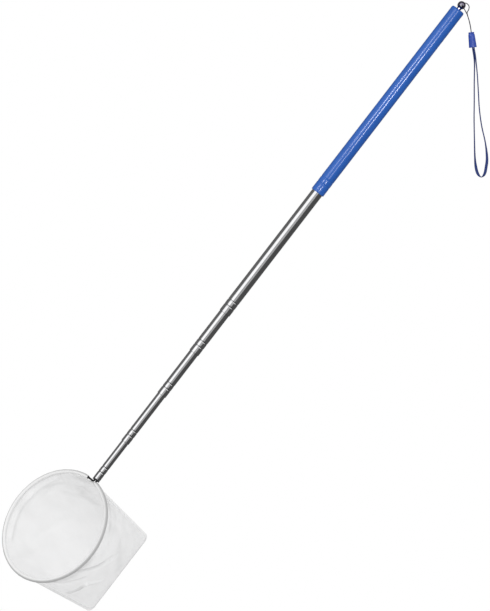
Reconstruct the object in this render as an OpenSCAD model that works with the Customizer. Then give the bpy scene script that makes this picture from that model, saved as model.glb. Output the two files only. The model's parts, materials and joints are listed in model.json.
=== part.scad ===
// Telescopic leaf skimmer net: five bare pole sections slide into a sleeved handle,
// a wire hoop with a hemmed mesh bag sits on the thin end, and a wrist lanyard hangs
// from a ball eyelet on the handle's end. Millimetres. The origin is the middle of the
// grip on the pole's axis, +Z is up and the pole leans towards +X.

/* [Pole] */
// Lean of the pole from vertical, in degrees
pole_lean = 37.6; // [30:0.2:45]
// Outside diameter of the handle tube
handle_d = 15.9; // [15.7:0.1:16.4]
// Difference between the outside diameters of neighbouring sections
tube_step = 1.3; // [1.2:0.1:1.3]
// Wall thickness of the tubes
tube_wall = 0.4; // [0.35:0.05:0.4]
// Length of the widest bare section, each thinner one is 4 mm shorter
section_len = 262; // [255:1:265]
// Bare length of section 5, next to the handle, as stored
bare_5 = 182.6; // [170:0.2:190]
// Bare length of section 4 as stored
bare_4 = 60.2; // [40:0.2:90]
// Bare length of section 3 as stored
bare_3 = 63.8; // [40:0.2:90]
// Bare length of section 2 as stored
bare_2 = 71.7; // [40:0.1:90]
// Bare length of section 1, the thinnest, as stored
bare_1 = 55.9; // [40:0.1:90]

/* [Grip] */
// Length of the blue grip
grip_len = 278; // [270:1:286]
// Wall thickness of the grip sleeve
grip_wall = 0.7; // [0.5:0.1:0.9]
// Diameter of the ball eyelet
ball_d = 10; // [8:0.5:10]

/* [Net] */
// Turn of the net about the pole, in degrees
net_turn = 39; // [0:1:60]
// Diameter of the hoop on the centre of its wire
hoop_d = 142; // [130:1:150]
// Diameter of the hoop's wire
wire_d = 2.4; // [2:0.1:2.6]
// Outside diameter of the hem round the wire
hem_d = 5; // [4.6:0.1:5.6]
// Depth of the bag
bag_depth = 155; // [120:1:180]
// Length of the bag's bottom seam
bag_bottom = 115; // [90:1:120]
// Thickness of the mesh
mesh_t = 1; // [0.8:0.1:1.2]

/* [Lanyard] */
// Diameter of the string
string_d = 1.1; // [0.7:0.1:1.1]
// Width of the strap
strap_w = 3.6; // [3:0.1:4]
// Thickness of the strap
strap_t = 1.2; // [0.9:0.1:1.3]
// Length of the ferrule
ferrule_len = 18.5; // [17:0.5:19]

/* [Hidden] */
$fn = 64;
eps = 0.01;

// crimped grooves behind each mouth
groove_depth = 0.2;
groove_half = 1.7;
groove_floor = 0.6;
groove_pitch = 7.4;
handle_groove = 12;
section_groove = 9.8;
lip_turn = 0.15;
lip_len = 0.6;

// friction shims on the hidden ends
shim_t = 0.2;
shim_len = 12;
shim_gap = 0.01;
bead_h = 0.12;
bead_w = 0.8;

// stations along the pole, measured from the grip's middle, the net at the negative end
grip_lo = -grip_len / 2;
grip_hi = grip_len / 2;
sleeve_over = 0.8;
sleeve_end = 1.2;
sleeve_corner = 2.2;
handle_mouth = grip_lo + sleeve_over;
handle_end = grip_hi - sleeve_end;
plug_len = 12;
neck_r = 2.8;
neck_len = 3;
neck_gap = 0.05;
shank_r = 1.5;
shank_len = 9;
ball_at = grip_hi + 6;
string_hole_r = 1.2;

bare = [bare_1, bare_2, bare_3, bare_4, bare_5];
function tube_r(k) = handle_d / 2 - (6 - k) * tube_step / 2;
function section_l(k) = section_len - 4 * (5 - k);
function mouth(k) = k > 5 ? grip_lo : mouth(k + 1) - bare[k - 1];
function tail(k) = mouth(k) + section_l(k);

// net
neck_in = tube_r(1) - tube_wall;
neck_plug_len = 12;
plug_gap = 0.16;
wire_gap = 0.03;
flange_t = 1.6;
flange_r = tube_r(1) - 0.1;
leg_x = 1.8;
bend_r = 2.4;
hoop_r = hoop_d / 2;
wire_r = wire_d / 2;
hoop_shift = -6.8;
leg_len = 9;
// height above the hoop's centre of the centre of a leg's bend, x to one side of the pole
function bend_z(x) = sqrt(pow(hoop_r + bend_r, 2) - pow(x - hoop_shift, 2));
hoop_z = mouth(1) - flange_t - bend_z(-leg_x - bend_r);
hem_bore = wire_r + 0.15;
hem_left = 12;
hem_right = 4.4;
seam_t = 0.8;
seam_w = 3;
bag_top = hem_d / 2 - 0.3;
bag_corner = 8;
bag_bulge = 1.4;

// route of the string: from the ferrule over the ball's front, through it, and back
string_route = [
    [100.4, -0.7, 78], [99.8, -0.7, 84.4], [98.2, -0.8, 93.4], [95.6, -1.8, 102.6],
    [92.2, -4.6, 109.4], [89.6, -6.2, 113.6], [88.4, -5, 114.9], [88.4, 5, 114.9],
    [90, 6.4, 116], [93.4, 5.2, 117.6], [96.6, 2.8, 115.4], [97.6, 1.4, 112.4],
    [96.8, 0.8, 109.2], [95.2, 0.6, 106.2], [95.9, 0.5, 102.2], [98.4, 0.6, 93.4],
    [99.9, 0.7, 84.4], [100.5, 0.7, 78]];
// route of the strap, each point with the turn of its flat side, in degrees
strap_route = [
    [100.2, 0, 73.4, 2], [102, 0, 62, 16], [103.3, 0, 54, 18], [104, 0, 45, 14],
    [103.9, 0, 34, 10], [103.7, 0, 20, 10], [103.7, 0, 0, 10], [103.5, 0, -22, 10],
    [103.9, 0, -46, 12], [104.5, 0, -68, 26], [106, 0, -81, 66], [108.4, 0, -88, 58],
    [112.2, 0, -91.2, 14], [116, 0, -87.6, 58], [118, 0, -79, 74], [119, 0, -68, 54],
    [117, 0, -50, 16], [112.6, 0, -30, 12], [109.9, 0, -10, 10], [108.8, 0, 8, 10],
    [107.7, 0, 27, 8], [106.8, 0, 38, 10], [106, 0, 45, 14], [105, 0, 54, 18],
    [103.7, 0, 62, 16], [101.9, 0, 73.4, 2]];
ferrule_top = [100, 0, 82.6];
ferrule_lean = 6.5;
ferrule_w0 = 7.4;
ferrule_w1 = 9.4;
ferrule_depth = 6;
ferrule_round = 1.2;
crimp_w = 4.6;
crimp_d = 3.6;
crimp_len = 4;
crimp_down = 5;
crimp_gap = 0.1;
ferrule_bore = 1.5;

steel = [0.72, 0.73, 0.75];
brass = [0.78, 0.62, 0.3];
blue = [0.16, 0.36, 0.72];
strap_blue = [0.13, 0.26, 0.66];
mesh_white = [0.95, 0.95, 0.94];

// places children from the pole's own frame, where +Z runs along the pole
module pole_frame() {
    rotate([0, pole_lean, 0])
        children();
}

// places children from the hoop's frame: x across it, y into the bag, origin at its centre
module hoop_frame() {
    pole_frame()
        rotate([0, 0, -net_turn])
            translate([hoop_shift, 0, hoop_z])
                children();
}

// ---- swept wires and cords ----

function unit(v) = v / norm(v);

// sweeps a closed section, given as [along the side, along the face], down a path
module swept(path, sections, sides) {
    n = len(path);
    function way(i) = unit(path[min(i + 1, n - 1)] - path[max(i - 1, 0)]);
    points = [for (i = [0:n - 1])
        let (
            t = way(i),
            side = sides[i] - (sides[i] * t) * t,
            s = unit(side),
            f = cross(t, s))
        for (q = sections) path[i] + q[0] * s + q[1] * f];
    m = len(sections);
    walls = [for (i = [0:n - 2]) for (j = [0:m - 1])
        let (a = i * m + j, b = i * m + (j + 1) % m)
        for (f = [[a, a + m, b + m], [a, b + m, b]]) f];
    first = [for (j = [0:m - 1]) j];
    last = [for (j = [m - 1:-1:0]) (n - 1) * m + j];
    polyhedron(points, concat(walls, [first], [last]), convexity = 8);
}

// ---- tubes ----

// one crimped groove on a wall at radius r
function groove(r, z) = [
    [r, z - groove_half], [r - groove_depth, z - groove_floor],
    [r - groove_depth, z + groove_floor], [r, z + groove_half]];

// a raised bead on a wall at radius r, starting at z
function bead(r, z) = [
    [r, z], [r + bead_h, z + 0.2], [r + bead_h, z + bead_w - 0.2], [r, z + bead_w]];

function flip(points) = [for (i = [len(points) - 1:-1:0]) points[i]];

// turns a wall's half section round the pole's axis
module turned(points) {
    rotate_extrude($fn = 96)
        polygon(points);
}

// the outline of a tube with two grooves behind its mouth and a turned-in lip
function tube_outline(r, wall, z0, z1, first, tail_points) = concat(
    [[r - lip_turn, z0], [r, z0 + lip_len]],
    groove(r, z0 + first),
    groove(r, z0 + first + groove_pitch),
    tail_points,
    [[r, z1], [r - wall, z1]],
    flip(groove(r - wall, z0 + first + groove_pitch)),
    flip(groove(r - wall, z0 + first)),
    [[r - wall, z0 + lip_len], [r - wall - lip_turn, z0]]);

module section(k) {
    r = tube_r(k);
    shim_hi = tail(k) - bead_w - 1;
    beads = concat(
        bead(r, shim_hi - shim_len - bead_w - 0.2),
        bead(r, shim_hi + 0.2));
    color(steel)
        pole_frame()
            turned(tube_outline(r, tube_wall, mouth(k), tail(k), section_groove, beads));
}

module shim(k) {
    r = tube_r(k) + shim_gap;
    shim_hi = tail(k) - bead_w - 1;
    color(brass)
        pole_frame()
            translate([0, 0, shim_hi - shim_len])
                rotate_extrude(angle = 340, $fn = 96)
                    translate([r, 0])
                        square([shim_t, shim_len]);
}

module handle_tube() {
    color(steel)
        pole_frame()
            turned(tube_outline(handle_d / 2, tube_wall, handle_mouth, handle_end,
                handle_groove - sleeve_over, []));
}

// ---- grip ----

module grip_sleeve() {
    r_in = handle_d / 2;
    r_out = r_in + grip_wall;
    lip_r = tube_r(5) + 0.3;
    corner = [for (a = [0:15:90])
        [r_out - sleeve_corner + sleeve_corner * cos(a), grip_hi - sleeve_corner + sleeve_corner * sin(a)]];
    outline = concat(
        [[lip_r, grip_lo], [r_out - 0.5, grip_lo], [r_out, grip_lo + 0.5]],
        groove(r_out, grip_lo + handle_groove),
        groove(r_out, grip_lo + handle_groove + groove_pitch),
        corner,
        [[neck_r + neck_gap, grip_hi], [neck_r + neck_gap, handle_end], [r_in, handle_end]],
        flip(groove(r_in, grip_lo + handle_groove + groove_pitch)),
        flip(groove(r_in, grip_lo + handle_groove)),
        [[r_in, handle_mouth + lip_len], [r_in - lip_turn, handle_mouth], [lip_r, handle_mouth]]);
    color(blue)
        pole_frame()
            turned(outline);
}

module end_plug() {
    color("dimgray")
        pole_frame()
            difference() {
                translate([0, 0, handle_end - plug_len])
                    cylinder(r = handle_d / 2 - tube_wall, h = plug_len);
                translate([0, 0, handle_end - shank_len])
                    cylinder(r = shank_r, h = shank_len + 1);
            }
}

module ball_eyelet() {
    color("silver")
        pole_frame()
            difference() {
                union() {
                    translate([0, 0, ball_at])
                        sphere(d = ball_d);
                    translate([0, 0, handle_end])
                        cylinder(r = neck_r, h = neck_len);
                    translate([0, 0, handle_end - shank_len])
                        cylinder(r = shank_r, h = shank_len + 1);
                }
                translate([0, 0, ball_at])
                    rotate([90, 0, 0])
                        cylinder(r = string_hole_r, h = ball_d + 2, center = true);
            }
}

// ---- net ----

// points of an arc in the hoop's plane
function arc_points(x, z, r, from, sweep, n) =
    [for (i = [0:n]) [x + r * cos(from + sweep * i / n), 0, z + r * sin(from + sweep * i / n)]];

module hoop_wire() {
    x = leg_x + bend_r;
    z_left = bend_z(-x);
    z_right = bend_z(x);
    a_left = atan2(z_left, -x - hoop_shift);
    a_right = atan2(z_right, x - hoop_shift);
    path = concat(
        [[-leg_x - hoop_shift, 0, z_left + leg_len]],
        arc_points(-x - hoop_shift, z_left, bend_r, 0, a_left - 180, 6),
        arc_points(0, 0, hoop_r, a_left + 2, 356 - a_left + a_right, 90),
        arc_points(x - hoop_shift, z_right, bend_r, a_right + 180, -a_right, 6),
        [[leg_x - hoop_shift, 0, z_left + leg_len]]);
    round_section = [for (a = [0:30:330]) wire_r * [cos(a), sin(a)]];
    color([0.06, 0.06, 0.07])
        hoop_frame()
            swept(path, round_section, [for (p = path) [0, 1, 0]]);
}

module neck_plug() {
    color([0.08, 0.08, 0.09])
        difference() {
            pole_frame() {
                translate([0, 0, mouth(1)])
                    cylinder(r = neck_in - plug_gap, h = neck_plug_len);
                translate([0, 0, mouth(1) - flange_t])
                    cylinder(r = flange_r, h = flange_t);
            }
            pole_frame()
                rotate([0, 0, -net_turn])
                    for (x = [-leg_x, leg_x])
                        translate([x, 0, mouth(1) - flange_t - 1])
                            cylinder(r = wire_r + wire_gap, h = leg_len + 2, $fn = 48);
        }
}

module hem_sleeve() {
    a_left = 90 + asin((hem_left + hoop_shift) / hoop_r);
    a_right = 90 - asin((hem_right - hoop_shift) / hoop_r);
    color(mesh_white)
        hoop_frame()
            rotate([90, 0, 0])
                rotate([0, 0, a_left])
                    rotate_extrude(angle = 360 - a_left + a_right, $fn = 96)
                        translate([hoop_r, 0])
                            difference() {
                                circle(d = hem_d, $fn = 48);
                                circle(r = hem_bore, $fn = 32);
                            }
}

// half height of the bag at depth y, with its bottom corners rounded
function bag_h(y) =
    let (
        h = hoop_r + 0.5 - (hoop_r + 0.5 - bag_bottom / 2) * y / bag_depth,
        into = max(0, y - bag_depth + bag_corner))
    h - bag_corner + sqrt(max(0, pow(bag_corner, 2) - pow(into, 2)));

// half width of the bag at depth y
function bag_w(y) = hoop_r * (1 - pow(y / bag_depth, bag_bulge));

// one half of the bag between the seam and the side given by side = 1 or -1
module mesh_panel(side) {
    rows = 16;
    cols = 20;
    reach = bag_depth - bag_corner / 2;
    function ring(y, t) = [for (j = [0:cols])
        let (
            a = -90 + 180 * j / cols,
            w = max(bag_w(y) - t, 0.02 + (mesh_t - t) * 0.9),
            h = bag_h(y) - seam_w * 0.4 - t)
        [side * (seam_t / 2 + w * cos(a)), y, h * sin(a)]];
    outer = [for (i = [0:rows]) ring(bag_top + (reach - bag_top) * i / rows, 0)];
    inner = [for (i = [0:rows]) ring(bag_top + (reach - mesh_t * 2 - bag_top) * i / rows, mesh_t)];
    points = concat([for (r = outer) for (p = r) p], [for (r = inner) for (p = r) p]);
    n = cols + 1;
    m = n * (rows + 1);
    skin = [for (i = [0:rows - 1]) for (j = [0:cols - 1])
        for (f = [[i * n + j, i * n + j + 1, (i + 1) * n + j + 1, (i + 1) * n + j]]) f];
    lining = [for (f = skin) [for (q = flip(f)) q + m]];
    mouth_rim = [for (j = [0:cols - 1]) [j + 1, j, m + j, m + j + 1]];
    bottom_rim = [for (j = [0:cols - 1])
        let (b = rows * n + j) [b, b + 1, m + b + 1, m + b]];
    edge_lo = [for (i = [0:rows - 1]) [i * n, (i + 1) * n, m + (i + 1) * n, m + i * n]];
    edge_hi = [for (i = [0:rows - 1])
        let (b = i * n + cols) [b + n, b, m + b, m + b + n]];
    faces = concat(skin, lining, mouth_rim, bottom_rim, edge_lo, edge_hi);
    polyhedron(points, side > 0 ? faces : [for (f = faces) flip(f)], convexity = 6);
}

module mesh_panel_front() {
    color(mesh_white)
        hoop_frame()
            mesh_panel(1);
}

module mesh_panel_back() {
    color(mesh_white)
        hoop_frame()
            mesh_panel(-1);
}

// flat tape along the two sides and the bottom, between the two panels
module seam_binding() {
    ys = concat([for (i = [0:6]) bag_top + (bag_depth - bag_corner - bag_top) * i / 6],
        [for (a = [15:15:90]) bag_depth - bag_corner + bag_corner * sin(a)]);
    edge = [for (y = ys) [y, bag_h(y)]];
    inset = [for (y = ys) [min(y, bag_depth - seam_w), bag_h(y) - seam_w]];
    outline = concat(edge, [for (p = flip(edge)) [p[0], -p[1]]],
        [for (p = inset) [p[0], -p[1]]], flip(inset));
    color([0.88, 0.88, 0.88])
        hoop_frame()
            rotate([90, 0, 90])
                linear_extrude(seam_t - 2 * eps, center = true)
                    polygon(outline);
}

// ---- lanyard ----

// a smooth curve through hand-placed points, each span cut into steps
function spline(p, steps) = concat(
    [for (i = [0:len(p) - 2]) for (s = [0:steps - 1])
        let (
            a = p[max(i - 1, 0)],
            b = p[i],
            c = p[i + 1],
            d = p[min(i + 2, len(p) - 1)],
            u = s / steps)
        ((2 * b) + (c - a) * u + (2 * a - 5 * b + 4 * c - d) * u * u
            + (3 * b - a - 3 * c + d) * u * u * u) / 2],
    [p[len(p) - 1]]);

// a reference direction carried along the string, so that its rings don't twist
function carried(path, i, s) =
    i >= len(path) ? [] :
    let (
        t = unit(path[min(i + 1, len(path) - 1)] - path[i - 1]),
        v = unit(s - (s * t) * t))
    concat([v], carried(path, i + 1, v));

module lanyard_string() {
    path = spline(string_route, 4);
    round_section = [for (a = [0:45:315]) string_d / 2 * [cos(a), sin(a)]];
    color([0.3, 0.29, 0.38])
        swept(path, round_section, concat([[1, 0, 0]], carried(path, 1, [1, 0, 0])));
}

module lanyard_strap() {
    route = spline(strap_route, 4);
    path = [for (p = route) [p[0], p[1], p[2]]];
    sides = [for (p = route) [sin(p[3]), cos(p[3]), 0]];
    flat_section = [
        [-strap_w / 2, 0], [-strap_w / 2 + 0.3, -strap_t / 2], [strap_w / 2 - 0.3, -strap_t / 2],
        [strap_w / 2, 0], [strap_w / 2 - 0.3, strap_t / 2], [-strap_w / 2 + 0.3, strap_t / 2]];
    color(strap_blue)
        swept(path, flat_section, sides);
}

module ferrule_frame() {
    translate(ferrule_top)
        rotate([0, -ferrule_lean, 0])
            children();
}

// one rounded end of the ferrule, width w across, its centre at height z
module ferrule_end(w, z) {
    for (x = [-1, 1])
        for (y = [-1, 1])
            translate([x * (w / 2 - ferrule_round), y * (ferrule_depth / 2 - ferrule_round), z])
                sphere(r = ferrule_round, $fn = 24);
}

module ferrule() {
    color(strap_blue)
        ferrule_frame()
            difference() {
                hull() {
                    ferrule_end(ferrule_w0, -ferrule_round);
                    ferrule_end(ferrule_w1, -ferrule_len + ferrule_round);
                }
                translate([0, 0, -crimp_down])
                    cylinder(r = ferrule_bore, h = crimp_down + 1, $fn = 32);
                translate([-crimp_w / 2 - crimp_gap, -crimp_d / 2 - crimp_gap, -ferrule_len - 1])
                    cube([
                        crimp_w + 2 * crimp_gap,
                        crimp_d + 2 * crimp_gap,
                        ferrule_len + 1 - crimp_down + crimp_gap]);
            }
}

module strap_crimp() {
    color(brass)
        ferrule_frame()
            translate([-crimp_w / 2, -crimp_d / 2, -crimp_down - crimp_len])
                cube([crimp_w, crimp_d, crimp_len]);
}

handle_tube();
grip_sleeve();
end_plug();
ball_eyelet();
section(5);  // tube_5
shim(5);  // friction_shim_5
section(4);  // tube_4
shim(4);  // friction_shim_4
section(3);  // tube_3
shim(3);  // friction_shim_3
section(2);  // tube_2
shim(2);  // friction_shim_2
section(1);  // tube_1
shim(1);  // friction_shim_1
neck_plug();
hoop_wire();
hem_sleeve();
mesh_panel_front();
mesh_panel_back();
seam_binding();
lanyard_string();
ferrule();
strap_crimp();
lanyard_strap();
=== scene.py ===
"""Leaf skimmer net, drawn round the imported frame: polished telescopic tubes, a glossy blue grip,
a hemmed mesh bag on a wire hoop, and a wrist lanyard. Metres, in the frame's own axes."""

import json
import math

import bpy
from mathutils import Matrix, Vector, noise


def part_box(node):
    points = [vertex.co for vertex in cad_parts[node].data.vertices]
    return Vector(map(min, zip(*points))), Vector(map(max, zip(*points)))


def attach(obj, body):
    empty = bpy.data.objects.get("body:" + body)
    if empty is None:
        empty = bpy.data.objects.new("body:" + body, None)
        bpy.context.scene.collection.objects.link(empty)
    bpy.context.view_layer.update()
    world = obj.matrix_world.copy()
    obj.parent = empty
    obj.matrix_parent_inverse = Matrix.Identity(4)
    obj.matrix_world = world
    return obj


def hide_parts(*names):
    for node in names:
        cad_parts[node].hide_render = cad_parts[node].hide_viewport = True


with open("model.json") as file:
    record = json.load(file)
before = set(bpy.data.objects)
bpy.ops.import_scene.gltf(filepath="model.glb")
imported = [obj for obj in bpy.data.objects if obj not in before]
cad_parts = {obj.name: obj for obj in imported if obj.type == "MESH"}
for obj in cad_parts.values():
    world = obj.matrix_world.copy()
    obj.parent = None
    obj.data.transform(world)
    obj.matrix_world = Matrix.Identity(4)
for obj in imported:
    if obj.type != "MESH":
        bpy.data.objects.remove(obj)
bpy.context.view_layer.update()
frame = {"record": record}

# ---- driving dimensions, metres and degrees, the same as the part's ----

NET_TURN = 39.0
HOOP_R = 0.071
WIRE_R = 0.0012
HEM_R = 0.0025
HOOP_SHIFT = -0.0068
FLANGE_T = 0.0016
LEG_X = 0.0018
LEG_LEN = 0.009
BEND_R = 0.0024
BAG_DEPTH = 0.155
BAG_BOTTOM = 0.115
BAG_CORNER = 0.008
SEAM_W = 0.003
HEM_LEFT = 0.012
HEM_TUCK = 0.0006
GROOVE_DEPTH = 0.0003
GROOVE_HALF = 0.0013
GROOVE_PITCH = 0.0074
SECTION_GROOVE = 0.0098
HANDLE_GROOVE = 0.012
TUBE_WALL = 0.0004
STRING_D = 0.0011
STRAP_W = 0.0036
STRAP_T = 0.0012
SLEEVE_END = 0.0012
SLEEVE_CORNER = 0.0022
NECK_R = 0.0028
FERRULE_TOP = Vector((0.1, 0, 0.0826))
FERRULE_LEAN = 6.5
FERRULE_LEN = 0.0185
FERRULE_W = (0.0074, 0.0094)
FERRULE_DEPTH = 0.006

# the cords' routes, the same points as the part's; a strap point ends with the tape's turn in degrees
STRING_ROUTE = [
    (0.1004, -0.0007, 0.078), (0.0998, -0.0007, 0.0844), (0.0982, -0.0008, 0.0934),
    (0.0956, -0.0018, 0.1026), (0.0922, -0.0046, 0.1094), (0.0896, -0.0062, 0.1136),
    (0.0884, -0.005, 0.1149), (0.0884, 0.005, 0.1149), (0.09, 0.0064, 0.116),
    (0.0934, 0.0052, 0.1176), (0.0966, 0.0028, 0.1154), (0.0976, 0.0014, 0.1124),
    (0.0968, 0.0008, 0.1092), (0.0952, 0.0006, 0.1062), (0.0959, 0.0005, 0.1022),
    (0.0984, 0.0006, 0.0934), (0.0999, 0.0007, 0.0844), (0.1005, 0.0007, 0.078)]
STRAP_ROUTE = [
    (0.1002, 0, 0.0734, 2), (0.102, 0, 0.062, 16), (0.1033, 0, 0.054, 18), (0.104, 0, 0.045, 14),
    (0.1039, 0, 0.034, 10), (0.1037, 0, 0.02, 10), (0.1037, 0, 0, 10), (0.1035, 0, -0.022, 10),
    (0.1039, 0, -0.046, 12), (0.1045, 0, -0.068, 26), (0.106, 0, -0.081, 66), (0.1084, 0, -0.088, 58),
    (0.1122, 0, -0.0912, 14), (0.116, 0, -0.0876, 58), (0.118, 0, -0.079, 74), (0.119, 0, -0.068, 54),
    (0.117, 0, -0.05, 16), (0.1126, 0, -0.03, 12), (0.1099, 0, -0.01, 10), (0.1088, 0, 0.008, 10),
    (0.1077, 0, 0.027, 8), (0.1068, 0, 0.038, 10), (0.106, 0, 0.045, 14), (0.105, 0, 0.054, 18),
    (0.1037, 0, 0.062, 16), (0.1019, 0, 0.0734, 2)]

# ---- frames ----

grip_mount = next(m for m in frame["record"]["mounts"] if m["name"] == "grip")
pole_axis = -Vector(grip_mount["axis"]).normalized()
lean = math.atan2(pole_axis.x, pole_axis.z)
pole_frame = Matrix.Rotation(lean, 4, "Y")


def span(node):
    """Radius of a tube lying along the pole, and its two ends along the pole's axis."""
    lo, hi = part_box(node)
    r = (hi.y - lo.y) / 2
    reach = r * math.sin(lean)
    return r, (lo.z + reach) / math.cos(lean), (hi.z - reach) / math.cos(lean)


def bend_height(x):
    return math.sqrt((HOOP_R + BEND_R) ** 2 - (x - HOOP_SHIFT) ** 2)


neck_mouth = span("tube_1")[1]
hoop_at = neck_mouth - FLANGE_T - bend_height(-LEG_X - BEND_R)
net_frame = pole_frame @ Matrix.Rotation(math.radians(-NET_TURN), 4, "Z")
hoop_frame = net_frame @ Matrix.Translation((HOOP_SHIFT, 0, hoop_at))

# ---- camera ----

LENS, SENSOR = 1200.0, 36.0
VIEW_HEIGHT = 0.7332
VIEW_CENTRE = Vector((-0.1714, 0, -0.2454))
cam_data = bpy.data.cameras.new("camera")
cam_data.lens, cam_data.sensor_width = LENS, SENSOR
camera = bpy.data.objects.new("camera", cam_data)
camera.location = VIEW_CENTRE - Vector((0, VIEW_HEIGHT * LENS / SENSOR, 0))
camera.rotation_euler = (math.radians(90), 0, 0)
cam_data.clip_end = 200
bpy.context.collection.objects.link(camera)
bpy.context.scene.camera = camera

# ---- mesh helpers ----


def add_mesh(name, points, faces, material, sharp=None, uvs=None, transform=None):
    """A new smooth-shaded object, its points moved by transform, edges past sharp degrees left hard."""
    mesh = bpy.data.meshes.new(name)
    if transform:
        points = [transform @ Vector(p) for p in points]
    mesh.from_pydata(points, [], faces)
    mesh.validate()
    if uvs:
        layer = mesh.uv_layers.new(name="cloth")
        for loop in mesh.loops:
            layer.data[loop.index].uv = uvs[loop.vertex_index]
    mesh.shade_smooth()
    if sharp:
        mesh.set_sharp_from_angle(angle=math.radians(sharp))
    mesh.materials.append(material)
    obj = bpy.data.objects.new(name, mesh)
    bpy.context.collection.objects.link(obj)
    return obj


def grid_faces(rows, cols, wrap=False, flip=False):
    """Quads of a grid of rows x cols points, joined round its columns where wrap is set."""
    faces = []
    for i in range(rows - 1):
        for j in range(cols if wrap else cols - 1):
            a, b = i * cols + j, i * cols + (j + 1) % cols
            quad = (a, b, b + cols, a + cols)
            faces.append(quad[::-1] if flip else quad)
    return faces


def lathe(name, profile, material, transform, sides=96, sharp=40):
    """Turns a closed profile of (radius, height) points round the z axis."""
    points, n = [], len(profile)
    for i in range(sides):
        a = 2 * math.pi * i / sides
        points += [(r * math.cos(a), r * math.sin(a), z) for r, z in profile]
    faces = []
    for i in range(sides):
        k = (i + 1) % sides
        for j in range(n):
            m = (j + 1) % n
            faces.append((i * n + j, k * n + j, k * n + m, i * n + m))
    return add_mesh(name, points, faces, material, sharp, transform=transform)


def spline(points, steps):
    """A smooth curve through the points, each span cut into steps."""
    p = [Vector(q) for q in points]
    out = []
    for i in range(len(p) - 1):
        a, b, c, d = p[max(i - 1, 0)], p[i], p[i + 1], p[min(i + 2, len(p) - 1)]
        for s in range(steps):
            u = s / steps
            out.append((2 * b + (c - a) * u + (2 * a - 5 * b + 4 * c - d) * u * u
                        + (3 * b - a - 3 * c + d) * u ** 3) / 2)
    return out + [p[-1]]


def tangents(path):
    n = len(path)
    return [(path[min(i + 1, n - 1)] - path[max(i - 1, 0)]).normalized() for i in range(n)]


def sweep(name, path, section, material, side=None, sharp=None):
    """Sweeps section(i, along) = [(a, b), ...] down a path; side(i) fixes its first direction."""
    ways = tangents(path)
    points, uvs, along = [], [], 0.0
    carried = side(0) if side else Vector((1, 0, 0))
    for i, (p, t) in enumerate(zip(path, ways)):
        if i:
            along += (p - path[i - 1]).length
        s = side(i) if side else carried
        s = (s - s.dot(t) * t).normalized()
        carried = s
        f = t.cross(s)
        ring = section(i, along)
        for k, (a, b) in enumerate(ring):
            points.append(p + a * s + b * f)
            uvs.append((along, k / len(ring)))
    n = len(ring)
    faces = grid_faces(len(path), n, wrap=True, flip=True)
    faces += [tuple(range(n)), tuple(reversed(range((len(path) - 1) * n, len(path) * n)))]
    return add_mesh(name, points, faces, material, sharp, uvs)


# ---- material helpers ----


class Shader:
    """A material with one Principled node, and short ways to add the nodes that feed it."""

    def __init__(self, name, color=(0.8, 0.8, 0.8), **values):
        self.material = bpy.data.materials.new(name)
        self.material.use_nodes = True
        self.nodes = self.material.node_tree.nodes
        self.links = self.material.node_tree.links
        self.main = self.nodes["Principled BSDF"]
        self.main.inputs["Base Color"].default_value = (*color, 1)
        for key, value in values.items():
            socket = key.replace("_", " ").title().replace("Ior", "IOR")
            self.main.inputs[socket].default_value = value

    def node(self, kind, inputs=(), **settings):
        made = self.nodes.new("ShaderNode" + kind)
        for key, value in settings.items():
            setattr(made, key, value)
        for key, value in dict(inputs).items():
            if isinstance(value, bpy.types.NodeSocket):
                self.links.new(value, made.inputs[key])
            else:
                made.inputs[key].default_value = value
        return made

    def place(self, rotation=(0, 0, 0), scale=(1, 1, 1)):
        """Object coordinates turned and stretched."""
        coords = self.node("TexCoord").outputs["Object"]
        return self.node("Mapping", {"Vector": coords, "Rotation": rotation, "Scale": scale}).outputs[0]

    def noise(self, vector, scale, detail=4.0, rough=0.5):
        made = self.node("TexNoise", {"Vector": vector, "Scale": scale, "Detail": detail, "Roughness": rough})
        return made.outputs["Fac"]

    def spread(self, value, low, high, start=0.3, end=0.7):
        """Maps value from start..end to low..high."""
        made = self.node("MapRange", {
            "Value": value, "From Min": start, "From Max": end, "To Min": low, "To Max": high})
        return made.outputs[0]

    def math(self, operation, a, b=0.0):
        made = self.node("Math", operation=operation)
        for socket, value in zip(made.inputs, (a, b)):
            if isinstance(value, bpy.types.NodeSocket):
                self.links.new(value, socket)
            else:
                socket.default_value = value
        return made.outputs[0]

    def tint(self, factor, dark, light):
        """The base colour as a blend of two colours."""
        mix = self.node("Mix", data_type="RGBA")
        self.links.new(factor, mix.inputs["Factor"])
        mix.inputs["A"].default_value = (*dark, 1)
        mix.inputs["B"].default_value = (*light, 1)
        self.links.new(mix.outputs["Result"], self.main.inputs["Base Color"])

    def darken(self, factor, depth):
        """Draws the base colour towards black: by depth where factor is 1."""
        base = self.main.inputs["Base Color"]
        mix = self.node("Mix", data_type="RGBA", blend_type="MULTIPLY")
        self.links.new(base.links[0].from_socket, mix.inputs["A"])
        mix.inputs["B"].default_value = (1 - depth, 1 - depth, 1 - depth, 1)
        self.links.new(factor, mix.inputs["Factor"])
        self.links.new(mix.outputs["Result"], base)

    def bump(self, height, distance, strength=1.0):
        made = self.node("Bump", {"Height": height, "Distance": distance, "Strength": strength})
        self.links.new(made.outputs[0], self.main.inputs["Normal"])

    def rough(self, value):
        self.links.new(value, self.main.inputs["Roughness"])


def drawn_metal(name, dark, light, low, high, across=500.0, bump=0.0000006):
    """Polished drawn metal: fine lines along the pole, soft patches of wear."""
    s = Shader(name, metallic=1.0)
    lines = s.noise(s.place((0, -lean, 0), (across, across, 6)), 1.0, 3.0)
    patches = s.noise(s.place(), 60.0, 3.0)
    s.tint(s.spread(patches, 0, 1), dark, light)
    s.rough(s.spread(s.math("MULTIPLY", lines, patches), low, high, 0.1, 0.45))
    s.bump(lines, bump)
    return s.material


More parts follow.
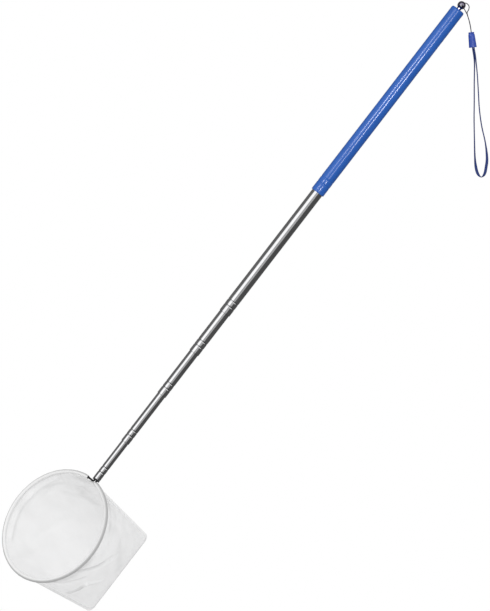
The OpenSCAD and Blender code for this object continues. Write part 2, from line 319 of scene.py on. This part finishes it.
def moulded(name, dark, light, low, high, grain=900.0, bump=0.000002, **values):
    """Moulded or dipped plastic: faint colour clouds, fine surface grain."""
    s = Shader(name, **values)
    clouds = s.noise(s.place(), 45.0, 3.0)
    s.tint(s.spread(clouds, 0, 1), dark, light)
    s.rough(s.spread(s.noise(s.place(), 220.0), low, high))
    s.bump(s.noise(s.place(), grain, 2.0), bump)
    return s.material


def wire_and_painted_edge_shade(s, down):
    """Painted shade on the hem's outer side, 0 to 1: partly the dark wire seen through the cloth where it
    lies against that side, partly the hem's outer edge painted darker as if in shade.
    """
    return s.spread(s.math("COSINE", s.math("DIVIDE", down, HEM_R)), 0, 1, -0.2, 0.7)


def painted_fold_shade(s, down):
    """Painted shade in the folds, under the hem and near the neck, partly standing for doubled mesh, read
    from the painted shade value stored on the cloth.
    """
    return s.node("Attribute", attribute_name="fold").outputs["Fac"]


def woven(name, dark, light, pitch, bump, rough=(0.75, 0.95), shade=None, **values):
    """Plain weave on the cloth map: threads over and under each other at pitch metres."""
    s = Shader(name, **values)
    uv = s.node("UVMap", uv_map="cloth").outputs[0]
    split = s.node("SeparateXYZ", {"Vector": uv})
    turn = 2 * math.pi / pitch
    across = s.math("SINE", s.math("MULTIPLY", split.outputs["X"], turn))
    down = s.math("SINE", s.math("MULTIPLY", split.outputs["Y"], turn))
    threads = s.math("ADD", s.math("MULTIPLY", s.math("MULTIPLY", across, down), 0.5), 0.5)
    fuzz = s.noise(s.place(), 1800.0, 2.0)
    weave = s.math("ADD", s.math("MULTIPLY", threads, 0.8), s.math("MULTIPLY", fuzz, 0.2))
    tone = s.spread(weave, 0, 1, 0.1, 0.75)
    s.tint(tone, dark, light)
    # painted shade: the base colour darkened where shade() gives 1, in the mesh's folds and on the hem's
    # outer side
    if shade:
        s.darken(shade(s, split.outputs["Y"]), 0.45)
    s.rough(s.spread(s.noise(s.place(), 90.0), *rough))
    s.bump(weave, bump)
    return s.material


steel = drawn_metal("polished_steel", (0.66, 0.66, 0.67), (0.73, 0.73, 0.74), 0.12, 0.2)
chrome = drawn_metal("ball_chrome", (0.26, 0.24, 0.32), (0.34, 0.32, 0.40), 0.06, 0.14, 300.0)
brass = drawn_metal("shim_brass", (0.50, 0.34, 0.13), (0.62, 0.44, 0.18), 0.25, 0.4)
alloy = drawn_metal("plug_alloy", (0.45, 0.45, 0.47), (0.55, 0.55, 0.57), 0.3, 0.5)
grip_blue = moulded("grip_blue", (0.011, 0.068, 0.285), (0.014, 0.079, 0.320), 0.3, 0.4,
                    specular_ior_level=0.1, coat_weight=0.7, coat_roughness=0.19)
ferrule_blue = moulded("ferrule_blue", (0.010, 0.034, 0.215), (0.013, 0.044, 0.265), 0.25, 0.35)
black_plastic = moulded("neck_black", (0.006, 0.006, 0.007), (0.012, 0.012, 0.013), 0.35, 0.55)
black_wire = moulded("wire_black", (0.006, 0.006, 0.007), (0.014, 0.014, 0.016), 0.4, 0.6, bump=0.00001)
# one white mesh fabric in two tones: the front panel painted lighter and the back panel, seen inside the
# hoop, painted darker, to stand in for light and shade
front_mesh_painted_lighter = woven("front_mesh_painted_lighter", (0.85, 0.85, 0.86), (0.97, 0.97, 0.97), 0.0007, 0.00006, alpha=0.5,
                   shade=painted_fold_shade)
back_mesh_painted_darker = woven("back_mesh_painted_darker", (0.64, 0.64, 0.65), (0.76, 0.76, 0.76), 0.0007, 0.00006, alpha=0.57,
                  shade=painted_fold_shade)
# the hem cloth is darkened along its outer side: painted shade, partly for the wire seen through it
hem_cloth = woven("hem_cloth", (0.64, 0.64, 0.64), (0.76, 0.76, 0.76), 0.0005, 0.00004, shade=wire_and_painted_edge_shade)
seam_cloth = woven("seam_cloth", (0.76, 0.76, 0.76), (0.88, 0.88, 0.88), 0.0005, 0.00004)
string_cloth = moulded("string_violet", (0.006, 0.005, 0.014), (0.018, 0.015, 0.036), 0.6, 0.85,
                       4000.0, 0.00005, specular_ior_level=0.2)
strap_cloth = woven("strap_blue", (0.006, 0.016, 0.085), (0.014, 0.040, 0.20), 0.0006, 0.00006, (0.5, 0.7))

# ---- lanyard cords ----

string_path = spline([Vector(p) for p in STRING_ROUTE], 12)


def string_section(i, along):
    """Two twisted plies: the radius swells twice round, turning as it goes."""
    turn = along / 0.0022 * 2 * math.pi
    ring = []
    for k in range(16):
        a = 2 * math.pi * k / 16
        r = STRING_D / 2 * (0.88 + 0.12 * abs(math.cos(a - turn / 2)))
        ring.append((r * math.cos(a), r * math.sin(a)))
    return ring


string = sweep("lanyard_string_twist", string_path, string_section, string_cloth)
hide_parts("lanyard_string")
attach(string, "lanyard")

strap_path = spline([Vector(p[:3]) for p in STRAP_ROUTE], 10)
strap_turns = [v.x for v in spline([Vector((p[3], 0, 0)) for p in STRAP_ROUTE], 10)]


def strap_side(i):
    a = math.radians(strap_turns[i])
    return Vector((math.sin(a), math.cos(a), 0))


def strap_section(i, along):
    """A flat tube of tape: rounded edges and a shallow hollow down its middle."""
    ring = []
    for k in range(28):
        a = 2 * math.pi * k / 28
        c, s = math.cos(a), math.sin(a)
        x = STRAP_W / 2 * math.copysign(abs(c) ** 0.6, c)
        hollow = 0.86 + 0.14 * min(1, abs(x) / (STRAP_W * 0.3))
        ring.append((x, STRAP_T / 2 * hollow * math.copysign(abs(s) ** 0.7, s)))
    return ring


strap = sweep("lanyard_strap_tape", strap_path, strap_section, strap_cloth, strap_side)
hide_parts("lanyard_strap")
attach(strap, "lanyard")

# ---- ferrule ----

ferrule_frame = Matrix.Translation(FERRULE_TOP) @ Matrix.Rotation(math.radians(-FERRULE_LEAN), 4, "Y")


def ferrule_ring(z, shrink, count=48):
    """A rounded oblong at depth z below the ferrule's top, drawn in by shrink."""
    w = FERRULE_W[0] + (FERRULE_W[1] - FERRULE_W[0]) * z / FERRULE_LEN
    ring = []
    for k in range(count):
        a = 2 * math.pi * k / count
        c, s = math.cos(a), math.sin(a)
        x = (w / 2 - shrink) * math.copysign(abs(c) ** 0.92, c)
        y = (FERRULE_DEPTH / 2 - shrink) * math.copysign(abs(s) ** 0.92, s)
        ring.append((x, y, -z))
    return ring


def make_ferrule():
    round_r = 0.0013
    rings = [ferrule_ring(0.0001, FERRULE_DEPTH / 2 - 0.0009)]
    for i in range(7):
        a = math.pi / 2 * i / 6
        rings.append(ferrule_ring(round_r * (1 - math.sin(a)), round_r * (1 - math.cos(a))))
    for i in range(1, 10):
        rings.append(ferrule_ring(round_r + (FERRULE_LEN - 0.0018) * i / 10, 0))
    for i in range(5):
        a = math.pi / 2 * i / 4
        edge = 0.0004
        rings.append(ferrule_ring(FERRULE_LEN - edge + edge * math.sin(a), edge * (1 - math.cos(a))))
    rings.append(ferrule_ring(FERRULE_LEN, 0.0011))
    rings.append(ferrule_ring(FERRULE_LEN - 0.004, 0.0013))
    rings.append(ferrule_ring(FERRULE_LEN - 0.009, 0.0016))
    points = [p for ring in rings for p in ring]
    count = 48
    faces = grid_faces(len(rings), count, wrap=True, flip=True)
    faces.append(tuple(range(count)))
    faces.append(tuple(reversed(range((len(rings) - 1) * count, len(rings) * count))))
    return add_mesh("ferrule_moulding", points, faces, ferrule_blue, 50, transform=ferrule_frame)


ferrule = make_ferrule()
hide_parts("ferrule")
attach(ferrule, "lanyard")

# ---- tubes, grip and eyelet ----


def groove_points(r, at, steps=10):
    """A rolled groove in a wall of radius r, centred at height at."""
    out = []
    for i in range(steps + 1):
        x = -1 + 2 * i / steps
        out.append((r - GROOVE_DEPTH * (0.5 + 0.5 * math.cos(math.pi * x)), at + x * GROOVE_HALF))
    return out


def arc_points(r, z, radius, start, end, steps=6):
    """Points of an arc in a half section, angles in degrees from outwards towards upwards."""
    out = []
    for i in range(steps + 1):
        a = math.radians(start + (end - start) * i / steps)
        out.append((r + radius * math.cos(a), z + radius * math.sin(a)))
    return out


def tube_profile(r, z0, z1, first):
    """Half section of a tube with a rolled lip at z0 and two grooves behind it."""
    inner = r - TUBE_WALL
    outside = arc_points(r - 0.0005, z0 + 0.0005, 0.0005, -75, 0, 8)
    outside += groove_points(r, z0 + first) + groove_points(r, z0 + first + GROOVE_PITCH)
    inside = [(inner, z1)]
    inside += reversed(groove_points(inner, z0 + first + GROOVE_PITCH))
    inside += reversed(groove_points(inner, z0 + first))
    inside += [(inner, z0 + 0.0005), (inner - 0.0001, z0 + 0.0001)]
    return outside + [(r, z1)] + inside


for k in range(1, 6):
    node = f"tube_{k}"
    r, z0, z1 = span(node)
    bead = 0.00012
    tube = lathe(f"{node}_polished", tube_profile(r - bead, z0, z1, SECTION_GROOVE), steel, pole_frame)
    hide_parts(node)
    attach(tube, "net_head" if k == 1 else f"section_{k}")

handle_r, handle_lo, handle_hi = span("handle_tube")
handle_tube = lathe("handle_tube_drawn", tube_profile(handle_r, handle_lo, handle_hi, HANDLE_GROOVE - 0.0008),
                    steel, pole_frame)
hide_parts("handle_tube")
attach(handle_tube, "handle")

grip_r, grip_lo = span("grip_sleeve")[:2]
grip_hi = handle_hi + SLEEVE_END


def grip_profile():
    inner = handle_r
    lip = span("tube_5")[0] + 0.0002
    out = [(lip, grip_lo), *arc_points(grip_r - 0.0005, grip_lo + 0.0005, 0.0005, -90, 0, 5)]
    out += groove_points(grip_r, grip_lo + HANDLE_GROOVE)
    out += groove_points(grip_r, grip_lo + HANDLE_GROOVE + GROOVE_PITCH)
    out += arc_points(grip_r - SLEEVE_CORNER, grip_hi - SLEEVE_CORNER, SLEEVE_CORNER, 0, 90, 10)
    hole = NECK_R + 0.0001
    out += [(hole, grip_hi), (hole, grip_hi - SLEEVE_END), (inner, grip_hi - SLEEVE_END)]
    out += reversed(groove_points(inner, grip_lo + HANDLE_GROOVE + GROOVE_PITCH))
    out += reversed(groove_points(inner, grip_lo + HANDLE_GROOVE))
    out += [(inner, grip_lo + 0.0008), (lip, grip_lo + 0.0008)]
    return out


grip = lathe("grip_sleeve_gloss", grip_profile(), grip_blue, pole_frame)
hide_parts("grip_sleeve")
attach(grip, "handle")

# ---- hoop wire and neck plug ----


def hoop_arc(x, z, r, start, turn, count):
    out = []
    for i in range(count + 1):
        a = math.radians(start + turn * i / count)
        out.append(Vector((x + r * math.cos(a), 0, z + r * math.sin(a))))
    return out


def wire_route():
    x = LEG_X + BEND_R
    z_left, z_right = bend_height(-x), bend_height(x)
    left = math.degrees(math.atan2(z_left, -x - HOOP_SHIFT))
    right = math.degrees(math.atan2(z_right, x - HOOP_SHIFT))
    route = [Vector((-LEG_X - HOOP_SHIFT, 0, z_left + LEG_LEN))]
    route += hoop_arc(-x - HOOP_SHIFT, z_left, BEND_R, 0, left - 180, 12)
    route += hoop_arc(0, 0, HOOP_R, left + 1, 358 - left + right, 220)
    route += hoop_arc(x - HOOP_SHIFT, z_right, BEND_R, right + 180, -right, 12)
    route.append(Vector((LEG_X - HOOP_SHIFT, 0, z_left + LEG_LEN)))
    return [hoop_frame @ p for p in route]


def round_section(radius, count=16):
    ring = [(radius * math.cos(2 * math.pi * k / count), radius * math.sin(2 * math.pi * k / count))
            for k in range(count)]
    return lambda i, along: ring


hoop_normal = (hoop_frame.to_3x3() @ Vector((0, 1, 0))).normalized()
wire = sweep("hoop_wire_coated", wire_route(), round_section(WIRE_R), black_wire, lambda i: hoop_normal)
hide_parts("hoop_wire")
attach(wire, "net_head")

# ---- hem ----


def hem_angles():
    left = 90 + math.degrees(math.asin((HEM_LEFT + HOOP_SHIFT) / HOOP_R))
    right = 90 - math.degrees(math.asin((HEM_TUCK - HOOP_SHIFT) / HOOP_R))
    return left, 360 + right


def make_hem():
    """Cloth folded round the wire, gathered in small uneven puckers; its right end is drawn in
    under the neck, and its left end stays open round the wire."""
    start, end = hem_angles()
    rows, cols = 560, 28
    points, uvs = [], []
    total = HOOP_R * math.radians(end - start)
    for i in range(rows):
        a = math.radians(start + (end - start) * i / (rows - 1))
        out = Vector((math.cos(a), 0, math.sin(a)))
        along = HOOP_R * a
        from_left, from_right = total * i / (rows - 1), total * (1 - i / (rows - 1))
        mouth = 1 - 0.2 * math.exp(-from_left / 0.0025) - 0.55 * math.exp(-(from_right / 0.0022) ** 2)
        crowd = 1 + 1.6 * math.exp(-min(from_left, from_right) / 0.012)
        for j in range(cols):
            b = math.pi / 2 + 2 * math.pi * j / cols
            pucker = noise.noise(Vector((along * 260, math.cos(b) * 1.2, math.sin(b) * 1.2)))
            slow = noise.noise(Vector((along * 60, 4, 7)))
            r = HEM_R * mouth * (0.96 + crowd * (0.05 * pucker + 0.03 * slow))
            p = out * (HOOP_R + r * math.cos(b)) + Vector((0, r * math.sin(b), 0))
            points.append(p)
            uvs.append((along, HEM_R * b))
    faces = grid_faces(rows, cols, wrap=True)
    faces.append(tuple(reversed(range((rows - 1) * cols, rows * cols))))
    return add_mesh("hem_cloth_sleeve", points, faces, hem_cloth, uvs=uvs, transform=hoop_frame)


hem = make_hem()
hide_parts("hem_sleeve")
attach(hem, "net_head")

# ---- bag ----


def bag_half_height(y):
    top = HOOP_R + 0.0005
    h = top - (top - BAG_BOTTOM / 2) * y / BAG_DEPTH
    into = max(0.0, y - BAG_DEPTH + BAG_CORNER)
    return h - BAG_CORNER + math.sqrt(max(0.0, BAG_CORNER ** 2 - into ** 2))


def bag_half_width(y):
    return HOOP_R * (1 - (y / BAG_DEPTH) ** 1.4)


# creases of the cloth: ends as (round the side, down the bag), each 0 to 1 or -1 to 1, then
# height in millimetres and half width in millimetres; inward creases have a negative height
FRONT_CREASES = [
    ((-0.68, 0.47), (-0.34, 0.37), 2.2, 2.6), ((-0.34, 0.37), (-0.20, 0.58), 1.6, 2.6),
    ((-0.24, 0.06), (0.08, 0.34), -2.4, 3.2), ((0.00, 0.30), (0.16, 0.46), -1.2, 3.0),
    ((0.76, 0.30), (0.10, 0.20), -0.6, 6.0), ((0.66, 0.42), (0.30, 0.38), 0.6, 6.0),
    ((-0.42, 0.90), (-0.24, 0.80), 0.9, 2.4), ((-0.60, 0.10), (-0.30, 0.22), -2.0, 3.2),
    ((0.50, 0.75), (0.20, 0.92), 0.8, 5.0), ((-0.80, 0.20), (-0.62, 0.30), 1.0, 3.5)]
BACK_CREASES = [
    ((-0.42, 0.075), (0.10, 0.07), -1.7, 3.4), ((0.05, 0.07), (0.46, 0.06), -1.5, 3.2),
    ((0.60, 0.26), (0.66, 0.42), 3.6, 4.6), ((0.62, 0.26), (0.86, 0.20), 2.6, 4.0),
    ((0.30, 0.16), (0.48, 0.12), 1.2, 4.0), ((0.44, 0.24), (0.56, 0.34), -1.0, 4.0),
    ((-0.30, 0.30), (0.05, 0.42), 0.9, 6.0), ((-0.60, 0.20), (-0.44, 0.34), 0.9, 5.0),
    ((0.20, 0.72), (-0.20, 0.88), 0.8, 6.0)]
# painted shade in folds, under the hem and near the neck, partly standing for doubled mesh, which looks
# darker: ends as above, then darkness and half width in millimetres
FRONT_FOLD_SHADE = [
    ((-0.66, 0.45), (-0.40, 0.38), 0.75, 2.8), ((-0.40, 0.40), (-0.26, 0.54), 0.4, 2.6),
    ((-0.22, 0.08), (0.02, 0.30), 0.9, 3.0), ((-0.60, 0.10), (-0.30, 0.22), 0.6, 3.0),
    ((-0.85, 0.07), (-0.10, 0.03), 0.7, 7.0), ((0.80, 0.14), (0.40, 0.10), 0.5, 5.0),
    ((0.30, 0.40), (0.10, 0.70), 0.15, 10.0)]
BACK_FOLD_SHADE = [
    ((0.56, 0.32), (0.58, 0.43), 0.5, 5.0), ((0.56, 0.30), (0.70, 0.28), 0.2, 4.0),
    ((0.66, 0.08), (0.92, 0.05), 0.3, 7.0), ((0.30, 0.10), (0.46, 0.14), 0.4, 3.0),
    ((-0.44, 0.09), (-0.10, 0.085), 0.35, 2.5), ((-0.60, 0.20), (-0.44, 0.34), 0.1, 6.0)]
ROUND_MM = 108.0
DARKEST_FOLD_SHADE = 1.2


def crease(u, v, ends, height, width):
    """Height of one crease at (u, v): a ridge along the line between its ends, faded past them."""
    (u0, v0), (u1, v1) = ends
    px, py = (u - u0) * ROUND_MM, (v - v0) * BAG_DEPTH * 1000
    dx, dy = (u1 - u0) * ROUND_MM, (v1 - v0) * BAG_DEPTH * 1000
    length = math.hypot(dx, dy)
    k = (px * dx + py * dy) / length
    across = (py * dx - px * dy) / length
    past = max(0.0, -k, k - length)
    bow = 0.10 * k * (length - k) / length
    return height * math.exp(-((across - bow) / width) ** 2 - (past / (1.8 * width)) ** 2)


def bag_point(side, y, a):
    """A point of the bag at depth y, a from -90 to 90 degrees round its side."""
    w = max(bag_half_width(y), 0.0004)
    h = bag_half_height(y) - SEAM_W * 0.8
    t = y / BAG_DEPTH
    c = max(0.0, math.cos(a))
    return Vector((side * (0.0003 + w * c ** (1 + 0.35 * t)), y, h * math.sin(a)))


def bag_offset(side, y, a):
    """How far the cloth stands out from the lofted shape, in metres."""
    v = y / BAG_DEPTH
    u = a / (math.pi / 2)
    tied = min(1.0, v / 0.04) * min(1.0, (1 - v) / 0.08) * max(0.0, math.cos(a)) ** 0.4
    soft = noise.noise(Vector((u * 2.1 + side * 9, v * 2.4, 3.0)))
    middle = noise.noise(Vector((u * 4.6 + side * 5, v * 4.2, 8.0)))
    fine = noise.noise(Vector((u * 11 + side * 3, v * 10, 5.0)))
    folds = sum(crease(u, v, (p, q), height, width)
                for p, q, height, width in (FRONT_CREASES if side > 0 else BACK_CREASES))
    neck = math.exp(-((u - 0.95) / 0.3) ** 2 - (v / 0.1) ** 2)
    crumple = noise.noise(Vector((u * 34, v * 30, side * 2.0))) * neck
    gather = math.sin(a * 34 + 2.5 * soft) * math.exp(-v / 0.12) * min(1.0, v / 0.03)
    return 0.001 * (tied * (1.5 * soft + 0.9 * middle + 0.3 * fine + folds) + 0.22 * gather + 1.3 * crumple)


def fold_shade_value(side, y, a):
    """How much painted shade the cloth gets, up to its darkest value: dark bands in the folds and under the
    hem, partly for doubled mesh, and a mottle, partly random tone and partly painted shade of the gathers,
    that grows towards the neck.
    """
    v, u = y / BAG_DEPTH, a / (math.pi / 2)
    folds = sum(crease(u, v, (p, q), depth, width)
                for p, q, depth, width in (FRONT_FOLD_SHADE if side > 0 else BACK_FOLD_SHADE))
    blotch = noise.noise(Vector((u * 6.5 + side * 4, v * 6.0, 2.0)))
    near_neck = math.exp(-((u - 0.8) / 0.4) ** 2 - (v / 0.25) ** 2)
    return min(DARKEST_FOLD_SHADE, max(0.0, folds + (0.16 + 0.5 * near_neck) * (blotch + 0.2)))


def make_panel(name, side, node, cloth):
    rows, cols = 170, 200
    top = HEM_R - 0.0004
    points, uvs, folds = [], [], []
    for i in range(rows):
        y = top + (BAG_DEPTH - 0.001 - top) * i / (rows - 1)
        for j in range(cols):
            a = -math.pi / 2 + math.pi * j / (cols - 1)
            p = bag_point(side, y, a)
            step = 0.0008
            down = bag_point(side, min(y + step, BAG_DEPTH - 0.0005), a) - p
            ahead, behind = min(a + 0.02, math.pi / 2), max(a - 0.02, -math.pi / 2)
            round_ = bag_point(side, y, ahead) - bag_point(side, y, behind)
            n = down.cross(round_)
            n = n.normalized() if n.length > 1e-12 else Vector((side, 0, 0))
            if n.x * side < 0:
                n = -n
            points.append(p + n * bag_offset(side, y, a))
            uvs.append((HOOP_R * a, y))
            folds.append(fold_shade_value(side, y, a))
    faces = grid_faces(rows, cols, flip=side < 0)
    panel = add_mesh(name, points, faces, cloth, uvs=uvs, transform=hoop_frame)
    # the painted shade value of each point, which the cloth's material reads to darken its colour
    panel.data.attributes.new("fold", "FLOAT", "POINT").data.foreach_set("value", folds)
    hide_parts(node)
    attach(panel, "net_head")
    return panel


front = make_panel("mesh_front_cloth", 1, "mesh_panel_front", front_mesh_painted_lighter)
back = make_panel("mesh_back_cloth", -1, "mesh_panel_back", back_mesh_painted_darker)


def make_seam():
    """The sewn edge of the two panels: a thin doubled strip that runs down one side,
    along the bottom and up the other."""
    edge = []
    steps = 60
    top = HEM_R - 0.0004
    for i in range(steps):
        y = top + (BAG_DEPTH - BAG_CORNER - top) * i / steps
        edge.append((y, bag_half_height(y)))
    for i in range(13):
        a = math.pi / 2 * i / 12
        y = BAG_DEPTH - BAG_CORNER + BAG_CORNER * math.sin(a)
        edge.append((y, bag_half_height(y)))
    half = edge[-1][1]
    bottom = [(BAG_DEPTH, half * (1 - 2 * i / 70)) for i in range(1, 70)]
    line = edge + bottom + [(y, -h) for y, h in reversed(edge)]
    path = [Vector((0, y, z)) for y, z in line]
    ways = tangents(path)
    points, uvs, along = [], [], 0.0
    for i, (p, t) in enumerate(zip(path, ways)):
        if i:
            along += (p - path[i - 1]).length
        inward = Vector((0, -t.z, t.y))
        if inward.dot(Vector((0, 0.05, 0)) - p) < 0:
            inward = -inward
        wave = 0.00012 * noise.noise(Vector((along * 240, 0, 1)))
        for d, x in ((0, 0.00012), (0.0004, 0.00036), (SEAM_W, 0.0004),
                     (SEAM_W, -0.0004), (0.0004, -0.00036), (0, -0.00012)):
            points.append(p + inward * d + Vector((x + wave, 0, 0)))
            uvs.append((along, d + (0.004 if x < 0 else 0)))
    faces = grid_faces(len(path), 6, wrap=True)
    return add_mesh("seam_edge_cloth", points, faces, seam_cloth, 60, uvs, hoop_frame)


seam = make_seam()
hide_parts("seam_binding")
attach(seam, "net_head")

# ---- materials of the CAD nodes that still show ----


def wear(node, material):
    obj = bpy.data.objects[node]
    for slot in obj.material_slots:
        slot.material = material


wear("ball_eyelet", chrome)
wear("end_plug", alloy)
wear("neck_plug", black_plastic)
wear("strap_crimp", brass)
for k in range(1, 6):
    wear(f"friction_shim_{k}", brass)

# ---- floor, world and lights ----

FLOOR_Z = -1.55
floor = add_mesh("floor", [(-4, -4, FLOOR_Z), (4, -4, FLOOR_Z), (4, 4, FLOOR_Z), (-4, 4, FLOOR_Z)],
                 [(0, 1, 2, 3)], moulded("pale_floor", (0.78, 0.78, 0.78), (0.82, 0.82, 0.82), 0.8, 0.95))
floor.visible_glossy = False


# long lights parallel to the pole: angle round it from the camera's side, half widths where the
# light is full and where it ends, and strength
STRIPS = [(-14, 6, 20, 0.5), (33, 14, 34, 1.35), (90, 10, 60, 0.06), (180, 10, 50, 0.2)]


def make_world():
    """White round the camera's view; for reflections, a dark studio with strip lights along the pole."""
    world = bpy.data.worlds.new("studio")
    bpy.context.scene.world = world
    world.use_nodes = True
    nodes, links = world.node_tree.nodes, world.node_tree.links
    nodes.clear()
    toward = Vector((0, -1, 0))
    across = toward.cross(pole_axis).normalized()
    coords = nodes.new("ShaderNodeTexCoord")

    def number(operation, a, b):
        made = nodes.new("ShaderNodeMath")
        made.operation = operation
        for socket, value in zip(made.inputs, (a, b)):
            if isinstance(value, bpy.types.NodeSocket):
                links.new(value, socket)
            else:
                socket.default_value = value
        return made.outputs[0]

    def facing(direction):
        dot = nodes.new("ShaderNodeVectorMath")
        dot.operation = "DOT_PRODUCT"
        links.new(coords.outputs["Generated"], dot.inputs[0])
        dot.inputs[1].default_value = direction
        return dot.outputs["Value"]

    def ramp(value, start, end, low, high):
        made = nodes.new("ShaderNodeMapRange")
        made.interpolation_type = "SMOOTHSTEP"
        links.new(value, made.inputs["Value"])
        for key, number_ in (("From Min", start), ("From Max", end), ("To Min", low), ("To Max", high)):
            made.inputs[key].default_value = number_
        return made.outputs[0]

    def strip(angle, inner, outer, strength):
        """A long light parallel to the pole, angle degrees round it from the camera's side."""
        a = math.radians(angle)
        middle = toward * math.cos(a) + across * math.sin(a)
        return ramp(facing(middle), math.cos(math.radians(outer)), math.cos(math.radians(inner)), 0, strength)

    glossy = ramp(facing(pole_axis), -0.6, -0.2, 0.04, 0.09)
    for angle, full, end, strength in STRIPS:
        glossy = number("ADD", glossy, strip(angle, full, end, strength))
    upward = ramp(facing(pole_axis), 0.3, 0.45, 0, 0.9)
    band = number("MULTIPLY", upward, ramp(facing(toward), 0.1, 0.5, 0, 1))
    glossy = number("ADD", glossy, band)
    soft = ramp(facing((toward * 0.6 + across * 0.8).normalized()), -1, 1, 0.74, 1.0)
    path = nodes.new("ShaderNodeLightPath")

    def background(value):
        made = nodes.new("ShaderNodeBackground")
        made.inputs["Color"].default_value = (1, 1, 1, 1)
        if isinstance(value, bpy.types.NodeSocket):
            links.new(value, made.inputs["Strength"])
        else:
            made.inputs["Strength"].default_value = value
        return made.outputs[0]

    def mixed(factor, first, second):
        made = nodes.new("ShaderNodeMixShader")
        links.new(factor, made.inputs[0])
        links.new(first, made.inputs[1])
        links.new(second, made.inputs[2])
        return made.outputs[0]

    seen = mixed(path.outputs["Is Camera Ray"], background(soft), background(1.0))
    seen = mixed(path.outputs["Is Glossy Ray"], seen, background(glossy))
    out = nodes.new("ShaderNodeOutputWorld")
    links.new(seen, out.inputs["Surface"])


make_world()


def sun(name, toward, energy, angle, seen_by=None):
    """A distant soft light; seen_by limits it to some objects, which alone mirror it."""
    data = bpy.data.lights.new(name, "SUN")
    data.energy, data.angle = energy, math.radians(angle)
    lamp = bpy.data.objects.new(name, data)
    lamp.rotation_euler = toward.to_track_quat("Z", "Y").to_euler()
    lamp.visible_glossy = seen_by is not None
    bpy.context.collection.objects.link(lamp)
    if seen_by:
        group = bpy.data.collections.new(name)
        for obj in seen_by:
            group.objects.link(obj)
        lamp.light_linking.receiver_collection = group


sun("key", Vector((0.05, -0.95, 0.35)), 1.05, 25)
round_pole = Vector((0, -1, 0)).cross(pole_axis)
ball = bpy.data.objects["ball_eyelet"]
for name, angle, energy, size, seen_by in (
        ("gloss_low", -13, 0.75, 4, [grip, ferrule, ball]), ("gloss_high", 34, 0.45, 4, [grip, ferrule]),
        ("fill_high", 70, 0.4, 70, [grip, ferrule]), ("ball_glint", 2, 2.0, 30, [ball])):
    a = math.radians(angle)
    sun(name, Vector((0, -1, 0)) * math.cos(a) + round_pole * math.sin(a), energy, size, seen_by)
bpy.context.scene.view_settings.view_transform = "Standard"
